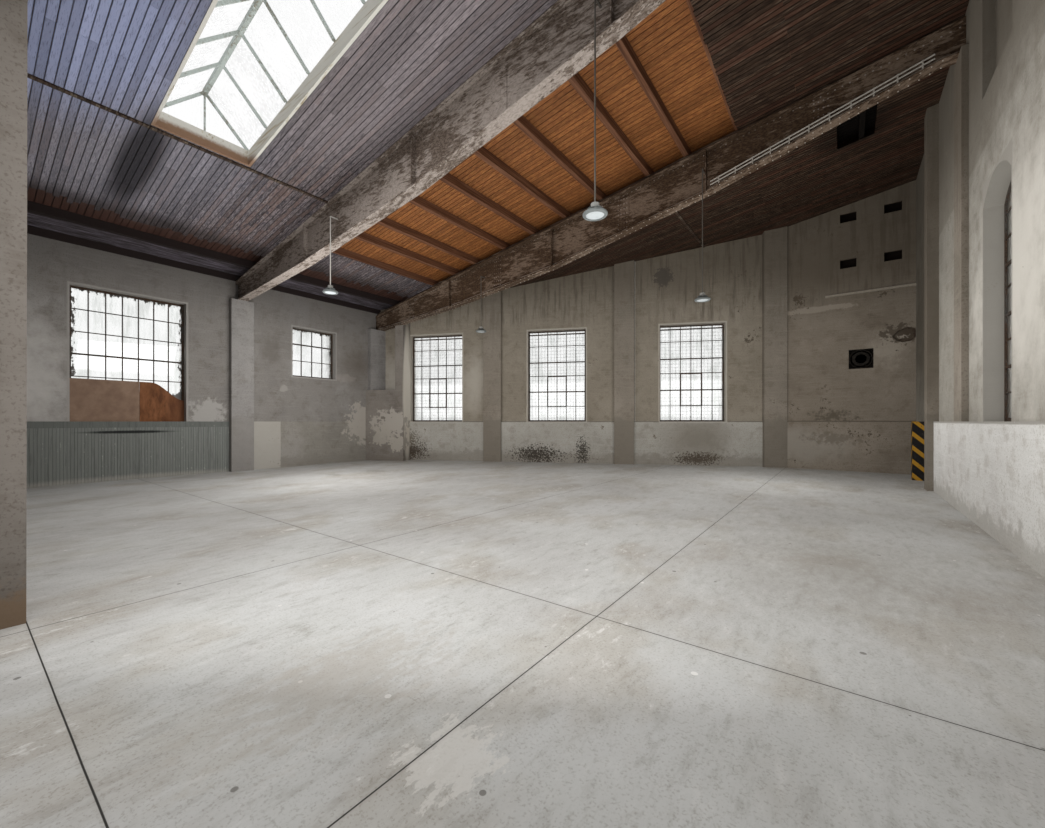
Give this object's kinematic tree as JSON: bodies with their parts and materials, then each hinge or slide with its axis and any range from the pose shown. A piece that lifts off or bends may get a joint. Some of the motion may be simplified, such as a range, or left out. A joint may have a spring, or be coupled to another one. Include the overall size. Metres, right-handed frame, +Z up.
{
  "type": "factory hall building",
  "caption": "Single-storey factory hall, open inside, with a lean roof on steel girders, a ridge skylight, barred windows and a wide gateway.",
  "frame": {"origin": "middle of the roof's outline in plan, at the underside of the floor slab and walls", "axes": "+X across the hall from the low wall to the high wall, +Y from the gateway wall to the back wall, +Z up"},
  "size_m": [16.9, 16.95, 8.5114],
  "materials": {
    "concrete": "trowelled concrete, worn, with saw-cut joints",
    "render": "cement render on masonry, grey, plain",
    "plaster_grey": "old lime and cement plaster, streaked and patched",
    "plaster_pale": "limewashed plaster, pale",
    "plaster_patched": "old plaster, flaking and broken in places",
    "dado_plaster": "limewashed dado on brickwork, flaking at the foot",
    "painted_boards": "narrow upright boards, old grey-green paint",
    "old_painted_steel": "riveted steel, whitewash and brown paint flaking",
    "dark_timber": "sawn timber, blackened",
    "brown_timber": "sawn timber, brown",
    "new_timber": "planed softwood boards, orange-brown",
    "old_ceiling_boards": "narrow ceiling boards, worn grey paint on dark wood",
    "roofing_felt": "bitumen felt, matt",
    "whitewashed_timber": "sawn timber, worn whitewash",
    "green_grey_steel": "painted steel bars, grey-green, matt",
    "clear_glass": "clear glass, slightly dusty",
    "dirty_glass": "old window glass, streaked",
    "window_steel": "painted steel, dark grey-green, rusty",
    "wire_mesh": "galvanised wire mesh, dull",
    "hardboard": "brown hardboard, matt",
    "plywood": "red-brown plywood, satin",
    "lamp_white": "white enamel, dusty",
    "lamp_metal": "cast aluminium, grey",
    "white_plastic": "white plastic, dusty",
    "fan_metal": "dark painted sheet, dirty",
    "striped_paint": "black and yellow slanting stripes, scuffed"
  },
  "bodies": {
    "root": {"floor_slab": "concrete", "left_wall_base": "render", "left_wall_piers": "plaster_grey", "left_wall_head": "plaster_grey", "back_wall_base": "dado_plaster", "back_wall_piers": "plaster_grey", "back_wall_head": "plaster_grey", "end_wall": "plaster_patched", "right_wall_base": "render", "right_wall_piers": "plaster_pale", "right_wall_head": "plaster_pale", "right_dado": "plaster_pale", "front_wall_left": "plaster_grey", "front_wall_right": "plaster_grey", "front_lintel": "plaster_grey", "left_pilasters": "plaster_grey", "back_pilasters": "plaster_grey", "right_pilasters": "plaster_pale", "corner_block": "plaster_patched", "left_wainscot": "painted_boards", "girder_1": "old_painted_steel", "girder_2": "old_painted_steel", "girder_packing": "dark_timber", "purlins": "brown_timber", "roof_boards": "new_timber", "eaves_planks": "dark_timber", "roof_felt": "roofing_felt", "ceiling_lining": "old_ceiling_boards", "lining_battens": "dark_timber", "skylight_curb": "whitewashed_timber", "skylight_ridge": "green_grey_steel", "skylight_rafters": "green_grey_steel", "skylight_glass": "clear_glass", "window_frames": "window_steel", "window_glass": "dirty_glass", "window_mesh": "wire_mesh", "brown_board": "hardboard", "cut_board": "plywood", "lamp_stems": "lamp_white", "lamp_discs": "lamp_metal", "conduits": "white_plastic", "cable_trunking": "white_plastic", "wall_fan": "fan_metal", "corner_guard": "striped_paint"}
  },
  "joints": []
}
